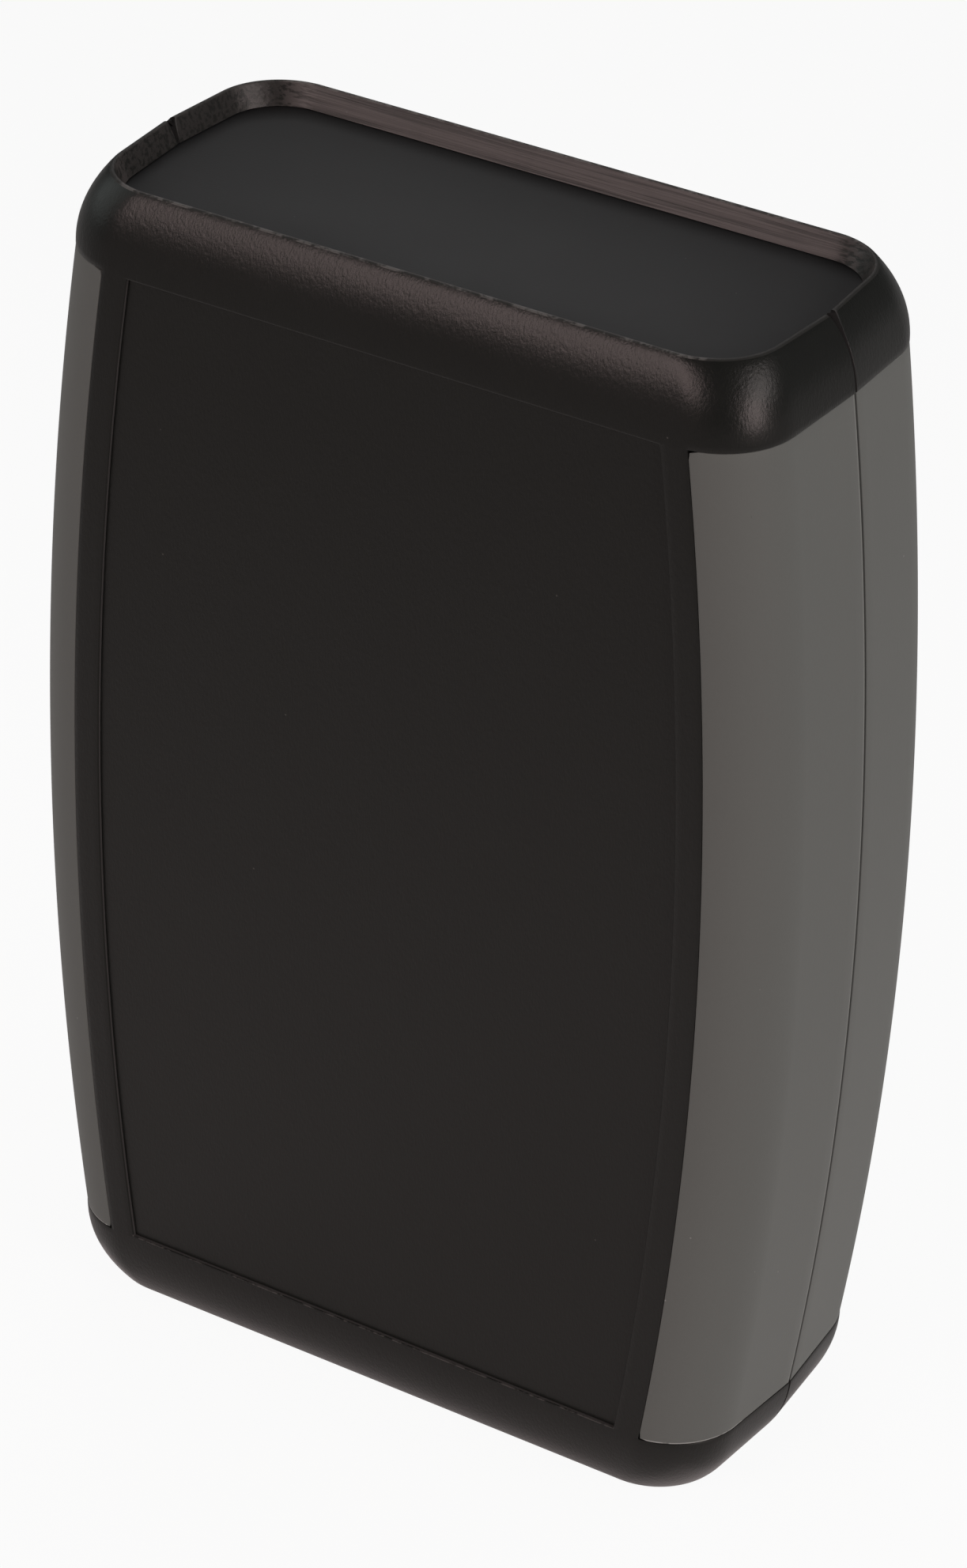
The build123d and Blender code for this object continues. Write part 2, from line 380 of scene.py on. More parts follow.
def recess_wall(look, form):
    """Masks at the label recess: (its low walls, which take painted light, their lower edge,
    which takes a painted highlight, the side edges).
    """
    x, y, z = look.across()
    up = abs(z - form.half_height)
    end = form.half_height - form.inside.label_end_margin
    deep = (form.half_depth - abs(y)) / form.inside.label_recess
    margin = 0.25 * MM
    half_width = form.shape.mid_width / 2 - form.inside.label_margin + margin
    beside = (abs(x) + up * up / (2 * form.bow_radius)) < half_width
    ring = beside * (up < end + margin) * (deep < 0.92)
    edge = ring * (deep > 0.01) * (deep < 0.3)
    lower = form.half_height - z > end - 0.1 * MM
    return ring * (deep > 0.3), edge * lower, edge * (up < end - 0.2 * MM)


def seam_groove(look, form):
    """Masks at the seam on the lips: (its groove, which takes painted shade, the rear half's
    edge, which takes a painted highlight).
    """
    y, z = look.across()[1:]
    shape = form.shape
    rise = (abs(z - form.half_height) - form.lip_base) / shape.lip_height
    rise = rise.held() ** NOTCH_CURVE
    opened = shape.seam_notch + (shape.rim_notch - shape.seam_notch) * rise
    away = abs(y) / opened
    groove_end = 0.95
    edge_end = 1.35
    # the groove takes painted shade, the rear half's edge next to it a painted highlight
    return away < groove_end, (away > groove_end) * (away < edge_end) * (y > 0.0) * rise


def shell_finish(form, finish):
    """Satin black moulded plastic with a fine spark-eroded grain and scuffed rim walls; painted
    highlights on the rim walls, rim land, recess edge and seam edge, painted light on the recess
    walls and painted shade in the seam groove.
    """
    look = Finish("case_black", Specular_IOR_Level=0.3, Specular_Tint=(1.0, 0.93, 0.92, 1.0))
    wall, scuffs_and_highlight, land, highlighted_long_land = mouth_wall(look, form)
    step, low_edge_highlight, side_edge = recess_wall(look, form)
    groove, seam_highlight = seam_groove(look, form)
    grain = look.noise(0.22 * MM, rough=0.6, place=look.stretched((1.0, 1.0, 0.4)))
    fine = look.noise(0.4 * MM)
    broad = look.noise(12 * MM, detail=3.0, rough=0.55)
    streaks = look.noise(0.4 * MM, detail=2.5, rough=0.6,
                         place=look.stretched((0.016, 1.0, 1.0)))
    patches = look.noise(3.5 * MM)
    highlight_breaks = look.noise(1.4 * MM, detail=3.0, rough=0.7).ramp(0.45, 0.6)
    texture = grain * 0.65 + fine * 0.35
    dust = look.specks(3.4 * MM, 0.11 * MM, kept=0.16)
    # the rim walls' lightening: real scuff streaks together with a painted highlight
    scuff_and_highlight = scuffs_and_highlight * (0.2 + streaks.ramp(0.4, 0.53) * 0.85) * (0.6 + patches * 0.8)
    base = look.mottled(finish.shell_colour, 0.86, 1.16, grain * 0.5 + broad * 0.5)
    # layers: scuffs with painted highlight on the rim walls, painted light on the recess walls,
    # painted highlights on the recess's lower edge, rim land and seam edge, painted shade in the
    # seam groove, and dust
    base = look.layered(base, (scuff_and_highlight.held(), finish.scuff_and_highlight_colour), (step, STEP_PAINTED_LIGHT),
                        (low_edge_highlight * highlight_breaks, LOW_STEP_HIGHLIGHT),
                        (land * 0.1 + highlighted_long_land * highlight_breaks * 0.7, RIM_HIGHLIGHT),
                        (seam_highlight * 0.8, SEAM_HIGHLIGHT), (groove * 0.9, GROOVE_SHADE),
                        (dust * 0.5, SHELL_DUST))
    rough = (finish.shell_roughness - 0.05 + broad * 0.05 + texture * 0.06 + wall * 0.06
             + land.most(step) * 0.2 + side_edge.most(groove) * 0.45)
    height = texture * (1 - wall) + streaks * wall * 1.2
    return look.dressed(base, rough, height, strength=0.8, distance=0.05 * MM)


def panel_finish(finish):
    """Matt black sheet with a fine even texture and a little dust."""
    look = Finish("panel_black", Specular_IOR_Level=0.35)
    grain = look.noise(0.22 * MM, rough=0.6)
    broad = look.noise(14 * MM, detail=3.0)
    dust = look.specks(2.3 * MM, 0.1 * MM, kept=0.2)
    base = look.mottled(finish.panel_colour, 0.85, 1.15, grain * 0.6 + broad * 0.4)
    base = look.layered(base, (dust * 0.5, PANEL_DUST))
    rough = finish.panel_roughness - 0.04 + broad * 0.08
    return look.dressed(base, rough, grain, strength=0.3, distance=0.03 * MM)


def grip_finish(form, finish):
    """Soft grey elastomer, matt and slightly velvety, with painted highlights along the front of
    the lower end and beside the seam.
    """
    look = Finish("grip_grey", Specular_IOR_Level=0.3, Sheen_Weight=0.15, Sheen_Roughness=0.4)
    grain = look.noise(0.35 * MM, rough=0.55)
    fine = look.noise(0.12 * MM)
    broad = look.noise(16 * MM, detail=3.0)
    dust = look.specks(2.1 * MM, 0.1 * MM, kept=0.18)
    y, z = look.across()[1:]
    end_line = form.grip_end - 0.17 * MM
    lower = form.half_height - z + abs(y) * form.grip_slope > end_line
    patchy = look.noise(1.2 * MM, rough=0.6).ramp(0.34, 0.46)
    # painted highlight along the front part of the grip's lower end
    lit_lower_end = lower * (y < -0.5 * form.half_depth) * patchy
    # painted highlight on the front grip's edge beside the seam
    seam_highlight = (abs(y) < 0.4 * MM) * (y < 0.0)
    base = look.mottled(finish.grip_colour, 0.93, 1.07, grain * 0.35 + fine * 0.25 + broad * 0.4)
    base = look.layered(base, (dust * 0.6, GRIP_DUST), (lit_lower_end * 0.9, GRIP_END_HIGHLIGHT),
                        (seam_highlight * 0.5, GRIP_SEAM_HIGHLIGHT))
    rough = finish.grip_roughness - 0.05 + broad * 0.1
    return look.dressed(base, rough, grain * 0.6 + fine * 0.4, strength=0.3, distance=0.03 * MM)


def screw_finish(finish):
    """Zinc plated steel with faint turning marks."""
    look = Finish("screw_steel", Metallic=1.0)
    marks = look.noise(0.2 * MM, place=look.stretched((1.0, 8.0, 1.0)))
    base = look.mottled(finish.screw_colour, 0.9, 1.08, look.noise(2 * MM))
    return look.dressed(base, 0.26 + marks * 0.16, marks, strength=0.15, distance=0.02 * MM)


# ---------------------------------------------------------------- case form

SIDE, CORNER, SHOULDER, FACE = range(4)


class CaseForm:
    """The rules of the case's outline, about its centre, in metres."""

    def __init__(self, scene):
        self.shape = scene.case_shape
        self.inside = scene.case_inside
        self.grips = scene.case_grips
        self.screws = scene.case_screws
        shape = self.shape
        inside = self.inside
        self.half_height = shape.height / 2
        self.half_depth = shape.depth / 2
        self.lip_base = self.half_height - shape.lip_height
        self.end_half_width = shape.mid_width / 2 - shape.side_bow
        self.bow_radius = (self.lip_base ** 2 + shape.side_bow ** 2) / (2 * shape.side_bow)
        self.lean = math.tan(shape.side_draft)
        self.panel_face = self.half_height - inside.panel_recess
        self.panel_back = self.panel_face - inside.panel_thickness
        self.cavity_end = self.panel_back - inside.panel_play - inside.ledge_height
        self.cavity_inset = self.grips.thickness + inside.side_wall
        self.cavity_depth = self.half_depth - inside.label_recess - inside.face_wall
        around = shape.rim_land + inside.mouth_lean
        self.mouth_width = self.end_half_width - shape.lip_roll_side - around
        self.mouth_depth = self.half_depth - shape.lip_roll_face - around
        self.grip_end = self.half_height - self.grips.end_margin
        self.grip_slope = math.tan(self.grips.end_draft)

    def waist_width(self, z, inset=0.0):
        """Half width of the bowed waist at height z."""
        radius = self.bow_radius - inset
        return self.shape.mid_width / 2 - self.bow_radius + np.sqrt(radius ** 2 - z ** 2)

    def roll_in(self, rise, full):
        """Inward roll of a lip at a height above its base."""
        radius = (self.shape.lip_height ** 2 + full ** 2) / (2 * full)
        return radius - np.sqrt(radius ** 2 - np.clip(rise, 0, self.shape.lip_height) ** 2)

    def outside(self, z, on_lip):
        """Half width, reach and corner radius of the outside at each height."""
        z = np.abs(z)
        rise = np.clip(z - self.lip_base, 0, None)
        shape = self.shape
        blend = rise / shape.lip_height
        lip_width = self.end_half_width - self.roll_in(rise, shape.lip_roll_side)
        width = np.where(on_lip, lip_width, self.waist_width(z))
        reach = self.half_depth - np.where(on_lip, self.roll_in(rise, shape.lip_roll_face), 0)
        change = (shape.lip_corner_radius - shape.corner_radius) * blend
        radius = shape.corner_radius + np.where(on_lip, change, 0)
        return width, reach, radius

    def corner_centre(self):
        """From the outside at the seam in to the centre of a corner's arc."""
        radius = self.shape.corner_radius
        return radius / math.cos(self.shape.side_draft) + self.lean * (self.half_depth - radius)

    def grip_edge_angle(self):
        """Angle on the corner's arc at which the grips end on the face."""
        return math.acos((self.corner_centre() - self.grips.margin) / self.shape.corner_radius)

    def label_shoulder(self):
        """From the corner's centre in to the edge of the label recess."""
        return self.inside.label_margin - self.corner_centre()

    def section(self, stretch, place, width, reach, radius):
        """Plan points on the right half of a section: x across, y out from the seam."""
        draft = self.shape.side_draft
        centre_y = reach - radius
        centre_x = width - self.lean * centre_y - radius / math.cos(draft)
        start_x = centre_x + radius * math.cos(draft)
        start_y = centre_y + radius * math.sin(draft)
        angle = draft + place * (math.pi / 2 - draft)
        inner_x = centre_x - self.label_shoulder()
        x = np.select([stretch == SIDE, stretch == CORNER, stretch == SHOULDER],
                      [width + place * (start_x - width), centre_x + radius * np.cos(angle),
                       centre_x - place], inner_x * (1 - place))
        y = np.select([stretch == SIDE, stretch == CORNER],
                      [place * start_y, centre_y + radius * np.sin(angle)], reach)
        return x, y

    def screw_places(self):
        """Centres of the four case screws, as (x, z) pairs."""
        z = self.half_height - self.screws.end_margin
        return four_corners(float(self.waist_width(z, self.screws.side_margin)), z)

    def standoff_places(self):
        """Centres of the four board standoffs, as (x, z) pairs."""
        inside = self.inside
        return four_corners(inside.standoff_spacing_x / 2, inside.standoff_spacing_z / 2)


def four_corners(x, z):
    """The corners of a rectangle about the centre, from the top left."""
    return [(side * x, end * z) for end in (1, -1) for side in (-1, 1)]


# ---------------------------------------------------------------- mesh helpers

def new_object(name, mesh, material=None):
    """Links an object for the mesh at the origin."""
    piece = bpy.data.objects.new(name, mesh)
    bpy.context.scene.collection.objects.link(piece)
    if material:
        mesh.materials.append(material)
    return piece


def mesh_from(name, points, faces):
    """A closed mesh with doubled points joined and faces turned outwards."""
    mesh = bpy.data.meshes.new(name)
    mesh.from_pydata([tuple(point) for point in points], [], faces)
    tidy_mesh(mesh)
    return mesh


def tidy_mesh(mesh, reach=0.002 * MM):
    """Joins doubled points, drops empty faces and turns the rest outwards."""
    work = bmesh.new()
    work.from_mesh(mesh)
    bmesh.ops.remove_doubles(work, verts=work.verts, dist=reach)
    bmesh.ops.dissolve_degenerate(work, edges=work.edges, dist=reach)
    bmesh.ops.recalc_face_normals(work, faces=work.faces)
    work.to_mesh(mesh)
    work.free()


def shade(mesh, sharp_degrees=35.0):
    """Smooth shading with edges kept sharp past an angle."""
    mesh.polygons.foreach_set("use_smooth", [True] * len(mesh.polygons))
    mesh.set_sharp_from_angle(angle=math.radians(sharp_degrees))
    mesh.update()


def lift(mesh, height):
    """Moves a mesh made about the case's centre onto the case's own frame."""
    mesh.transform(Matrix.Translation((0, 0, height / 2)))


def grid_faces(rows, wide, rows_close=False, wide_closes=True):
    """Quads between the points of a grid, which may close on itself either way."""
    faces = []
    for i in range(rows if rows_close else rows - 1):
        after = (i + 1) % rows
        for k in range(wide if wide_closes else wide - 1):
            n = (k + 1) % wide
            faces.append((i * wide + k, i * wide + n, after * wide + n, after * wide + k))
    return faces


def tube_mesh(name, rings):
    """Closed mesh over rings of points, with a flat cap at each end."""
    wide = len(rings[0])
    points = [point for ring in rings for point in ring]
    caps = [list(range(wide)), list(range(len(points) - wide, len(points)))]
    return mesh_from(name, points, caps + grid_faces(len(rings), wide))


def rod_mesh(name, x, z, radius, y_from, y_to, sides=48):
    """Closed round rod parallel to y."""
    angles = np.linspace(0, 2 * math.pi, sides, endpoint=False)
    ring = [(x + radius * math.cos(a), z + radius * math.sin(a)) for a in angles]
    return tube_mesh(name, [[(px, y, pz) for px, pz in ring] for y in (y_from, y_to)])


def block_mesh(name, low, high):
    """Closed block between two corners."""
    points = [(x, y, z) for x in (low[0], high[0]) for y in (low[1], high[1])
              for z in (low[2], high[2])]
    faces = [(0, 1, 3, 2), (4, 6, 7, 5), (0, 4, 5, 1), (2, 3, 7, 6), (0, 2, 6, 4), (1, 5, 7, 3)]
    return mesh_from(name, points, faces)


def settled(piece):
    """Replaces an object's live modifiers by their plain result."""
    graph = bpy.context.evaluated_depsgraph_get()
    graph.update()
    mesh = bpy.data.meshes.new_from_object(piece.evaluated_get(graph))
    piece.modifiers.clear()
    piece.data = mesh


def combine(piece, meshes, operation):
    """Adds meshes to a piece, or cuts them from it."""
    for mesh in meshes:
        tool = new_object("tool", mesh)
        step = piece.modifiers.new("Combine", "BOOLEAN")
        step.object = tool
        step.operation = operation
        step.solver = "EXACT"
        settled(piece)
        bpy.data.objects.remove(tool)


def bevel(piece, width, segments=3, degrees=50.0):
    """Rounds the edges that turn by more than an angle."""
    step = piece.modifiers.new("Round", "BEVEL")
    step.width = width
    step.segments = segments
    step.limit_method = "ANGLE"
    step.angle_limit = math.radians(degrees)
    step.harden_normals = False
    settled(piece)


# ---------------------------------------------------------------- shells

def edge_steps(round_off, depth):
    """Rounded edge of a step: (distance out from the step, share of its depth) pairs."""
    return [(0.0, round_off / depth), (0.3 * round_off, 0.3 * round_off / depth),
            (round_off, 0.0)]


WAIST_ROWS, LIP_ROWS, CAVITY_ROWS = 26, 15, 16
GRIP_COLUMNS, FACE_COLUMNS = 20, 4
# where a column stands across the seam's notch, and how much of the notch is left there
NOTCH_COLUMNS = ((0, 1), (0.35, 0.62), (1, 0), (1.25, 0))
NOTCH_REACH = 1.3   # columns nearer to the seam than this share of the notch move with it


class ShellGrid:
    """Columns run from seam to seam, rows run once round the wall of one half shell."""

    def __init__(self, form):
        self.form = form
        shape = form.shape
        self.notch_place = shape.seam_notch / (form.half_depth - shape.corner_radius)
        right = self.right_columns()
        mirrored = [(*column, -1) for column in reversed(right[:-1])]
        table = np.array([(*column, 1) for column in right] + mirrored, float)
        self.stretch, self.place, self.label, self.pocket, self.notch, self.side = table.T
        self.seam = (self.stretch == SIDE) & (self.place < NOTCH_REACH * self.notch_place)

    def right_columns(self):
        """(stretch, place, label, pocket, notch) of each column from the seam to the middle."""
        form = self.form
        shape = form.shape
        draft = shape.side_draft
        columns = [(SIDE, part * self.notch_place, 0, 1, notch)
                   for part, notch in NOTCH_COLUMNS]
        columns += [(SIDE, place, 0, 1, 0) for place in (0.2, 0.45, 0.7, 0.9)]
        arc = math.pi / 2 - draft
        edge = (form.grip_edge_angle() - draft) / arc
        columns += [(CORNER, place, 0, 1, 0) for place in np.linspace(0, edge, GRIP_COLUMNS)]
        for out, depth in edge_steps(shape.edge_round, form.grips.thickness):
            columns.append((CORNER, edge + out / shape.corner_radius / arc, 0, depth, 0))
        rest = columns[-1][1]
        columns += [(CORNER, place, 0, 0, 0)
                    for place in np.linspace(rest, 1, FACE_COLUMNS)[1:]]
        label_edge = form.label_shoulder()
        columns.append((SHOULDER, label_edge / 2, 0, 0, 0))
        for out, depth in reversed(edge_steps(shape.edge_round, form.inside.label_recess)):
            columns.append((SHOULDER, label_edge - out, depth, 0, 0))
        columns.append((SHOULDER, label_edge, 1, 0, 0))
        columns += [(FACE, place, 1, 0, 0) for place in (0.05, 0.25, 0.5, 0.75, 1.0)]
        return columns

    def row(self, z, section, inset=0.0, opened=1.0):
        """Points of one row at the heights z, for a section and an inset from it."""
        width, reach, radius = section
        place = np.where(self.seam, self.place * opened, self.place)
        x, y = self.form.section(self.stretch, place, width - inset, reach - inset,
                                 radius - inset)
        return np.stack([x * self.side, y, z * np.ones_like(x)], -1)

    def outer_row(self, z, slope=0.0, label=0.0, pocket=0.0, on_lip=False, inset=0.0):
        """A row on the outside with its steps, whose height may slope with the depth."""
        form = self.form
        shape = form.shape
        rise = max(0.0, z - form.lip_base) / shape.lip_height
        opened = 1 + (shape.rim_notch / shape.seam_notch - 1) * rise ** NOTCH_CURVE
        heights = z * np.ones_like(self.place)
        for _ in range(2):   # the second pass takes its widths at the sloped heights
            section = form.outside(heights, on_lip)
            steps = np.maximum(np.minimum(self.label, label) * form.inside.label_recess,
                               np.minimum(self.pocket, pocket) * form.grips.thickness)
            steps = steps + inset + self.notch * shape.seam_notch * opened
            points = self.row(heights, section, steps, opened)
            heights = z - slope * form.grip_slope * points[:, 1]
        return points

    def upper_rows(self):
        """Rows from the middle of the outside, over the rim, to the middle of the inside."""
        form = self.form
        shape = form.shape
        inside = form.inside
        round_off = shape.edge_round
        label_end = form.half_height - inside.label_end_margin
        rows = [self.outer_row(z, label=1, pocket=1)
                for z in np.linspace(0, label_end, WAIST_ROWS)]
        for out, depth in edge_steps(round_off, inside.label_recess):
            rows.append(self.outer_row(label_end + out, label=depth, pocket=1))
        rows.append(self.outer_row(form.grip_end, 1.0, pocket=1))
        for out, depth in edge_steps(round_off, form.grips.thickness):
            rows.append(self.outer_row(form.grip_end + out, 1.0, pocket=depth, on_lip=True))
        start = form.grip_end + round_off
        stop = form.half_height - round_off
        for step in np.linspace(0, 1, LIP_ROWS)[1:]:
            slope = max(0.0, 1 - 1.5 * step)
            rows.append(self.outer_row(start + (stop - start) * step, slope, on_lip=True))
        for drop, inset in ((0.3, 0.3), (0.0, 1.0)):
            z = form.half_height - drop * round_off
            points = self.outer_row(z, on_lip=True, inset=inset * round_off)
            points[:, 2] -= self.notch * shape.rim_notch * (1 - drop)
            rows.append(points)
        return rows + self.mouth_rows() + self.cavity_rows()

    def mouth_rows(self):
        """Rows down the opening, round the panel slot and down the throat."""
        form = self.form
        inside = form.inside
        round_off = form.shape.edge_round
        corner = inside.panel_corner_radius
        lean = inside.mouth_lean
        rim = (form.mouth_width + lean, form.mouth_depth + lean, corner + lean)
        inner = (form.mouth_width, form.mouth_depth, corner)
        grown = inside.panel_capture + inside.panel_play
        slot = (form.mouth_width + grown, form.mouth_depth + grown,
                corner + inside.panel_capture)
        top = form.half_height
        upper = form.panel_face + inside.panel_play
        lower = form.panel_back - inside.panel_play
        sunk = self.notch * form.shape.rim_notch
        wide = form.shape.rim_notch / form.shape.seam_notch
        return [self.row(top - sunk, rim, -0.6 * round_off, wide),
                self.row(top - 0.2 * round_off - sunk, rim, -0.2 * round_off, wide),
                self.row(top - 0.6 * round_off - sunk, rim, 0.0, wide),
                self.row(upper, inner),
                self.row(upper, slot), self.row(lower, slot), self.row(lower, inner),
                self.row(form.cavity_end, inner)]

    def cavity_rows(self):
        """Rows on the inside of the walls, from the throat to the middle."""
        form = self.form
        radius = form.shape.corner_radius - form.cavity_inset
        return [self.row(z, (form.waist_width(z, form.cavity_inset), form.cavity_depth, radius))
                for z in np.linspace(form.cavity_end, 0, CAVITY_ROWS)]

    def mesh(self, name, facing):
        """The closed wall of one half shell; facing is -1 for the front and 1 for the rear."""
        upper = self.upper_rows()
        lower = [row * (1, 1, -1) for row in reversed(upper[1:-1])]
        rows = np.array(upper + lower) * (1, facing, 1)
        count, wide = rows.shape[:2]
        faces = grid_faces(count, wide, rows_close=True, wide_closes=False)
        faces += [[i * wide + column for i in range(count)] for column in (0, wide - 1)]
        return mesh_from(name, rows.reshape(-1, 3), faces)


def fittings(form, facing):
    """What is moulded inside a half shell: (added meshes, cut meshes)."""
    inside = form.inside
    screws = form.screws
    sink = 0.5 * MM
    over = 1.0 * MM
    floor = form.cavity_depth
    bore = screws.head_radius + screws.head_play
    pilot = screws.core_radius + screws.pilot_play
    passage = screws.core_radius + screws.shank_play
    boss = (bore if facing > 0 else passage) + inside.boss_wall
    added = []
    cut = []
    for x, z in form.screw_places():
        side = 1 if x > 0 else -1
        wall = float(form.waist_width(z, form.cavity_inset)) + sink
        added.append(rod_mesh("boss", x, z, boss, 0, facing * (floor + sink)))
        half = inside.rib_thickness / 2
        start = side * (abs(x) + boss - sink)
        added.append(block_mesh("rib", (start, facing * inside.rib_drop, z - half),
                                (side * wall, facing * (floor + sink / 2), z + half)))
        if facing > 0:
            cut.append(rod_mesh("passage", x, z, passage, -over, screws.seat + over))
            cut.append(rod_mesh("counterbore", x, z, bore, screws.seat, form.half_depth + over))
        else:
            depth = screws.shank - screws.seat + inside.boss_wall
            cut.append(rod_mesh("pilot", x, z, pilot, -depth, over))
    for x, z in form.standoff_places():
        top = floor - inside.standoff_height
        added.append(rod_mesh("standoff", x, z, inside.standoff_radius, facing * top,
                              facing * (floor + sink)))
        cut.append(rod_mesh("board_hole", x, z, inside.standoff_hole_radius,
                            facing * (top - over), facing * (top + inside.standoff_hole_depth)))
    return added, cut


TONGUE_PLAY = 0.1 * MM   # clearance of the tongue in its rebate


def tongue_mesh(form, side, play):
    """One strip of the seam tongue, grown by play when it cuts the rebate."""
    inside = form.inside
    end = form.half_height - inside.tongue_end_gap + play
    heights = np.linspace(-end, end, 40)
    outer = form.waist_width(heights, form.cavity_inset - inside.tongue_thickness - play)
    inner = form.waist_width(heights, form.cavity_inset + 3 * play)
    low = -0.2 * MM
    high = inside.tongue_height + play
    rings = [[(side * x, y, z) for x, y in ((near, low), (far, low), (far, high), (near, high))]
             for z, far, near in zip(heights, outer, inner)]
    return tube_mesh("tongue", rings)


def build_shell(form, name, facing, material):
    """One half shell with its bosses, standoffs and seam joint."""
    piece = new_object(name, ShellGrid(form).mesh(name, facing))
    added, cut = fittings(form, facing)
    joint, play = (added, 0.0) if facing < 0 else (cut, TONGUE_PLAY)
    joint += [tongue_mesh(form, side, play) for side in (-1, 1)]
    combine(piece, added, "UNION")
    combine(piece, cut, "DIFFERENCE")
    lift(piece.data, form.shape.height)
    piece.data.materials.clear()
    piece.data.materials.append(material)
    shade(piece.data)
    return piece


# ---------------------------------------------------------------- grips

def new_tree(name, **inputs):
    """A geometry node tree and its inputs by name; each kind of input lists its names."""
    tree = bpy.data.node_groups.new(name, "GeometryNodeTree")
    for kind, names in (*inputs.items(), ("Material", ("Material",))):
        for label in names:
            tree.interface.new_socket(label, in_out="INPUT", socket_type="NodeSocket" + kind)
    tree.interface.new_socket("Geometry", in_out="OUTPUT", socket_type="NodeSocketGeometry")
    graph = Graph(tree)
    given = graph.add("NodeGroupInput")
    ask = {item.name: graph.out(given, item.name) for item in tree.interface.items_tree
           if item.in_out == "INPUT"}
    return graph, ask


def close_tree(graph, ask, shaped):
    """Ends a tree with real geometry that wears its material."""
    real = graph.add("GeometryNodeRealizeInstances", {0: shaped.outputs[0]})
    dressed = graph.add("GeometryNodeSetMaterial",
                        {"Geometry": real.outputs[0], "Material": ask["Material"]})
    graph.add("NodeGroupOutput", {0: dressed.outputs[0]})
    return graph.tree


def apply_tree(piece, tree, values):
    """Runs a geometry node tree on a piece with named inputs and keeps the plain result."""
    step = piece.modifiers.new("Shape", "NODES")
    step.node_group = tree
    for item in tree.interface.items_tree:
        if item.in_out == "INPUT":
            step[item.identifier] = values[item.name]
    settled(piece)


def grip_tree():
    """Geometry nodes that bend a closed tube of points into one grip."""
    graph, ask = new_tree(
        "Side Grip", Int=("Side Points", "Arc Points", "Rows"),
        Float=("Mid Width", "Bow Radius", "Half Depth", "Corner Radius", "Thickness",
               "Seam Gap", "End Height", "End Round", "Draft", "End Slope", "Edge Angle",
               "Side", "Facing", "Case Height"))
    path = ask["Side Points"] + ask["Arc Points"] + 1
    tube = graph.add("GeometryNodeMeshCylinder",
                     {"Vertices": path * 2, "Side Segments": ask["Rows"] - 1}, fill_type="NGON")
    index = graph.out(graph.add("GeometryNodeInputIndex"))
    around = index % (path * 2)
    inner = around > path - 0.5
    along = around * (1 - inner) + (path * 2 - 1 - around) * inner
    up = ((index + 0.5) / (path * 2)).floored() / (ask["Rows"] - 1)
    side_place = (along / ask["Side Points"]).held()
    arc_place = ((along - ask["Side Points"]) / ask["Arc Points"]).held()
    inset = inner * ask["Thickness"]
    draft = ask["Draft"]
    lean = draft.tangent()
    centre_y = ask["Half Depth"] - ask["Corner Radius"]
    radius = ask["Corner Radius"] - inset
    start_y = centre_y + radius * draft.sine()
    angle = draft + arc_place * (ask["Edge Angle"] - draft)
    half_gap = ask["Seam Gap"] / 2
    y = (half_gap + side_place * (start_y - half_gap)
         + radius * (angle.sine() - draft.sine()))
    to_edge = (1 - arc_place) * (ask["Edge Angle"] - draft) * ask["Corner Radius"]
    corner = ask["End Round"]
    short = corner - to_edge.least(corner)
    rounded = corner - (corner * corner - short * short).root()
    z = (up * 2 - 1) * (ask["End Height"] - ask["End Slope"] * y - rounded)
    arc = ask["Bow Radius"] - inset
    width = ask["Mid Width"] / 2 - ask["Bow Radius"] + (arc * arc - z * z).root()
    centre_x = width - lean * centre_y - radius / draft.cosine()
    start_x = centre_x + radius * draft.cosine()
    side_x = width - lean * half_gap
    x = (side_x + side_place * (start_x - side_x)
         + radius * (angle.cosine() - draft.cosine()))
    spot = graph.add("ShaderNodeCombineXYZ",
                     {0: x * ask["Side"], 1: y * ask["Facing"], 2: z + ask["Case Height"] / 2})
    placed = graph.add("GeometryNodeSetPosition",
                       {"Geometry": tube.outputs["Mesh"], "Position": spot.outputs[0]})
    return close_tree(graph, ask, placed)


def build_grip(form, tree, name, side, facing, material):
    """One grip, bent by the tree and with soft edges."""
    shape = form.shape
    grips = form.grips
    piece = new_object(name, bpy.data.meshes.new(name))
    apply_tree(piece, tree, {
        "Mid Width": shape.mid_width, "Bow Radius": form.bow_radius,
        "Half Depth": form.half_depth, "Corner Radius": shape.corner_radius,
        "Thickness": grips.thickness, "Seam Gap": grips.seam_gap,
        "End Round": grips.corner_radius, "End Height": form.grip_end, "Draft": shape.side_draft,
        "End Slope": form.grip_slope, "Edge Angle": form.grip_edge_angle(),
        "Side": float(side), "Facing": float(facing), "Case Height": shape.height,
        "Side Points": 6, "Arc Points": 42, "Rows": 90, "Material": material})
    tidy_mesh(piece.data)
    bevel(piece, grips.edge_round)
    tidy_mesh(piece.data)
    piece.data.name = name
    shade(piece.data)
    return piece


# ---------------------------------------------------------------- panels

